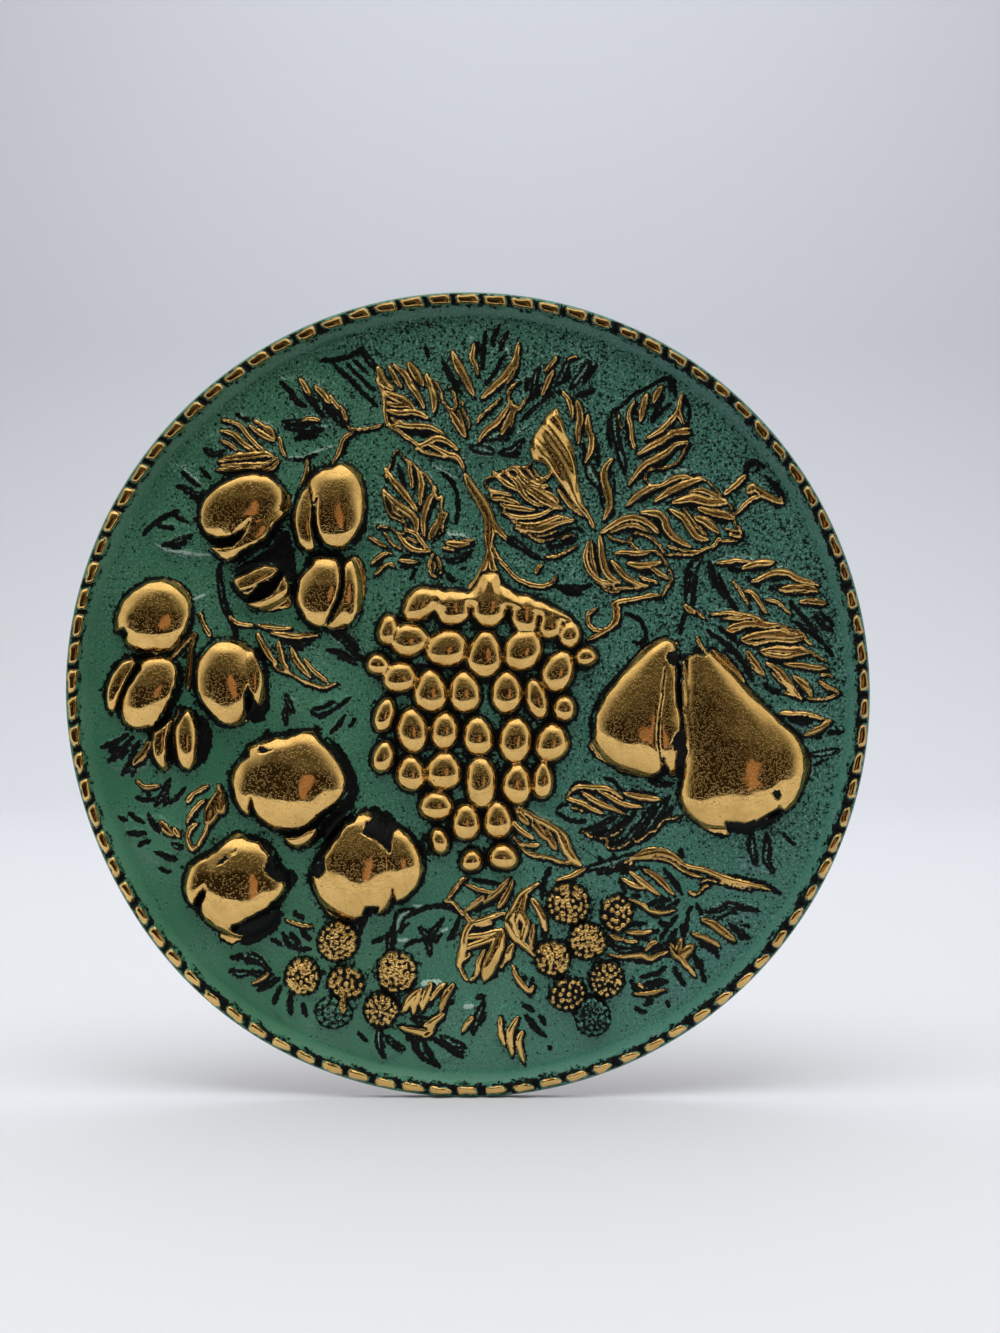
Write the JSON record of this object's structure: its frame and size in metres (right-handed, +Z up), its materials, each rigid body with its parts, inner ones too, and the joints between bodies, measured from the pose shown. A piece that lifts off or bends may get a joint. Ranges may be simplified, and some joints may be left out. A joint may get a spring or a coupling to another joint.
{
  "type": "decorative wall plaque",
  "caption": "Round pressed brass wall plaque with fruit in relief, a green ground and a rope rim, hung by a slotted strap on its back.",
  "frame": {"origin": "on the wall side of the hanging strap, in the web above its nail slot, 88 mm above the plate's centre", "axes": "+Z up, +Y into the wall, so the relief faces -Y; +X to the viewer's right"},
  "size_m": [0.2032, 0.013, 0.2032],
  "materials": {
    "painted_pressed_brass": "green paint in the ground, black patina in the crevices, relief tops polished back to bright brass",
    "aged_brass_strap": "bare brass strip, darkened with age"
  },
  "bodies": {
    "root": {"plaque": "painted_pressed_brass", "hanger": "aged_brass_strap"}
  },
  "joints": []
}
